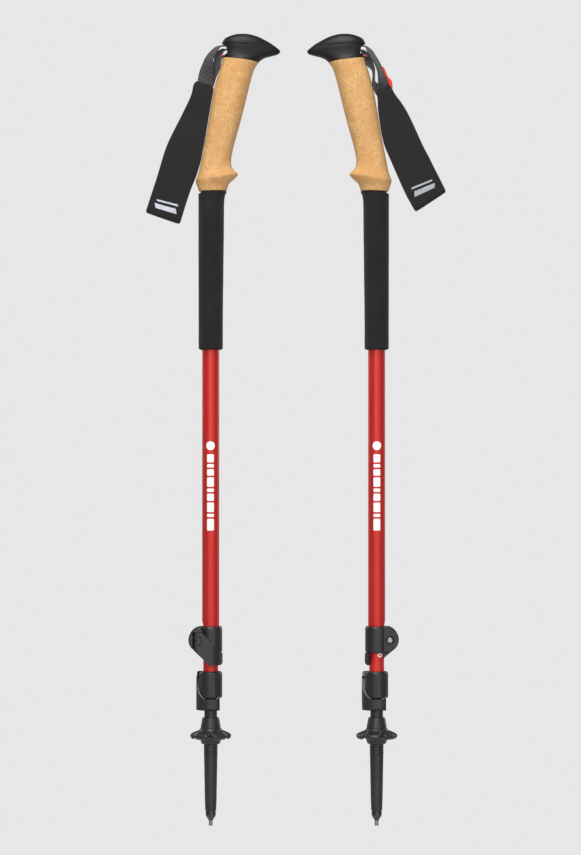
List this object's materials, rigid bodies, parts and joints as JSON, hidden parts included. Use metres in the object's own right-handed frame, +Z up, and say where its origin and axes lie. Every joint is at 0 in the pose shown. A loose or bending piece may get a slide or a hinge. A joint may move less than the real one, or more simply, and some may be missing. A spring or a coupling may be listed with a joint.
{
  "type": "trekking poles",
  "caption": "Collapsible three-section trekking poles with angled cork grips, foam sleeves, wrist straps, cam-lever clamps, flexible tips and snow baskets.",
  "frame": {"origin": "the end of the left pole's carbide tip, on that pole's axis", "axes": "+Z up along the tubes towards the grips, +X from the left pole to the right one in the plane of the grips, +Y away from the viewer"},
  "size_m": [0.2858, 0.0399, 0.744],
  "materials": {
    "grip_plastic": "textured soft-touch black",
    "inner_plastic": "plain black moulding",
    "cork": "natural agglomerated cork, satin",
    "foam": "closed-cell foam, matt",
    "steel": "zinc-plated",
    "red_plastic": "bright red moulding",
    "webbing": "ribbed black webbing",
    "padded_fabric": "brushed black fabric with bound edges",
    "red_fabric": "bright red woven label",
    "red_anodised": "glossy red anodised",
    "black_anodised": "black anodised",
    "clamp_plastic": "fine-textured black",
    "lever_plastic": "satin black",
    "tip_plastic": "satin black",
    "ferrule_metal": "turned",
    "carbide": "ground carbide",
    "basket_plastic": "satin black"
  },
  "bodies": {
    "left_upper": {"left_grip_head": "grip_plastic", "left_grip_core": "inner_plastic", "left_cork_grip": "cork", "left_foam_sleeve": "foam", "left_strap_pin": "steel", "left_strap_wedge": "red_plastic", "left_strap_root": "webbing", "left_upper_tube": "red_anodised", "left_upper_clamp": "clamp_plastic", "left_upper_nut": "steel", "left_upper_screw": "steel", "left_upper_shoe": "steel"},
    "left_upper_lever": {"left_upper_lever": "lever_plastic"},
    "left_middle_slider": {"left_middle_bushing": "inner_plastic"},
    "left_middle": {"left_middle_tube": "red_anodised", "left_lower_clamp": "clamp_plastic", "left_lower_nut": "steel", "left_lower_screw": "steel", "left_lower_shoe": "steel"},
    "left_lower_lever": {"left_lower_lever": "lever_plastic"},
    "left_lower_slider": {"left_lower_bushing": "inner_plastic"},
    "left_lower": {"left_lower_tube": "black_anodised", "left_flex_tip": "tip_plastic", "left_tip_ferrule": "ferrule_metal", "left_carbide_tip": "carbide"},
    "left_basket": {"left_basket": "basket_plastic"},
    "left_strap": {"left_strap_webbing": "webbing", "left_strap_pad": "padded_fabric", "left_strap_tab": "red_fabric"},
    "right_upper": {"right_grip_head": "grip_plastic", "right_grip_core": "inner_plastic", "right_cork_grip": "cork", "right_foam_sleeve": "foam", "right_strap_pin": "steel", "right_strap_wedge": "red_plastic", "right_strap_root": "webbing", "right_upper_tube": "red_anodised", "right_upper_clamp": "clamp_plastic", "right_upper_nut": "steel", "right_upper_screw": "steel", "right_upper_shoe": "steel"},
    "right_upper_lever": {"right_upper_lever": "lever_plastic"},
    "right_middle_slider": {"right_middle_bushing": "inner_plastic"},
    "right_middle": {"right_middle_tube": "red_anodised", "right_lower_clamp": "clamp_plastic", "right_lower_nut": "steel", "right_lower_screw": "steel", "right_lower_shoe": "steel"},
    "right_lower_lever": {"right_lower_lever": "lever_plastic"},
    "right_lower_slider": {"right_lower_bushing": "inner_plastic"},
    "right_lower": {"right_lower_tube": "black_anodised", "right_flex_tip": "tip_plastic", "right_tip_ferrule": "ferrule_metal", "right_carbide_tip": "carbide"},
    "right_basket": {"right_basket": "basket_plastic"},
    "right_strap": {"right_strap_webbing": "webbing", "right_strap_pad": "padded_fabric", "right_strap_tab": "red_fabric"}
  },
  "joints": [
    {"name": "left_middle_slide", "type": "slide", "parent": "left_upper", "child": "left_middle_slider", "axis": [0, 0, -1], "range_m": [0, 0.33]},
    {"name": "left_middle_turn", "type": "hinge", "parent": "left_middle_slider", "child": "left_middle", "pos_m": [0, 0, 0.25], "axis": [0, 0, 1], "continuous": true},
    {"name": "left_lower_slide", "type": "slide", "parent": "left_middle", "child": "left_lower_slider", "axis": [0, 0, -1], "range_m": [0, 0.33]},
    {"name": "left_lower_turn", "type": "hinge", "parent": "left_lower_slider", "child": "left_lower", "pos_m": [0, 0, 0.2], "axis": [0, 0, 1], "continuous": true},
    {"name": "left_upper_lever_turn", "type": "hinge", "parent": "left_upper", "child": "left_upper_lever", "pos_m": [-0.0123, -0.0096, 0.1745], "axis": [0, 0, -1], "range_deg": [0, 90]},
    {"name": "left_lower_lever_turn", "type": "hinge", "parent": "left_middle", "child": "left_lower_lever", "pos_m": [-0.0096, 0.0123, 0.132], "axis": [0, 0, -1], "range_deg": [0, 90]},
    {"name": "left_basket_slide", "type": "slide", "parent": "left_lower", "child": "left_basket", "axis": [0, 0, -1], "range_m": [0, 0.095]},
    {"name": "left_strap_swing", "type": "hinge", "parent": "left_upper", "child": "left_strap", "pos_m": [0.0082, 0, 0.7296], "axis": [0, 1, 0], "range_deg": [0, 70]},
    {"name": "pole_spacing", "type": "slide", "parent": "left_upper", "child": "right_upper", "axis": [1, 0, 0], "range_m": [0, 0.1]},
    {"name": "right_middle_slide", "type": "slide", "parent": "right_upper", "child": "right_middle_slider", "axis": [0, 0, -1], "range_m": [0, 0.33]},
    {"name": "right_middle_turn", "type": "hinge", "parent": "right_middle_slider", "child": "right_middle", "pos_m": [0.156, 0, 0.25], "axis": [0, 0, 1], "continuous": true},
    {"name": "right_lower_slide", "type": "slide", "parent": "right_middle", "child": "right_lower_slider", "axis": [0, 0, -1], "range_m": [0, 0.33]},
    {"name": "right_lower_turn", "type": "hinge", "parent": "right_lower_slider", "child": "right_lower", "pos_m": [0.156, 0, 0.2], "axis": [0, 0, 1], "continuous": true},
    {"name": "right_upper_lever_turn", "type": "hinge", "parent": "right_upper", "child": "right_upper_lever", "pos_m": [0.1683, 0.0096, 0.1745], "axis": [0, 0, -1], "range_deg": [0, 90]},
    {"name": "right_lower_lever_turn", "type": "hinge", "parent": "right_middle", "child": "right_lower_lever", "pos_m": [0.1464, 0.0123, 0.132], "axis": [0, 0, -1], "range_deg": [0, 90]},
    {"name": "right_basket_slide", "type": "slide", "parent": "right_lower", "child": "right_basket", "axis": [0, 0, -1], "range_m": [0, 0.095]},
    {"name": "right_strap_swing", "type": "hinge", "parent": "right_upper", "child": "right_strap", "pos_m": [0.1478, 0, 0.7296], "axis": [0, -1, 0], "range_deg": [0, 70]}
  ]
}
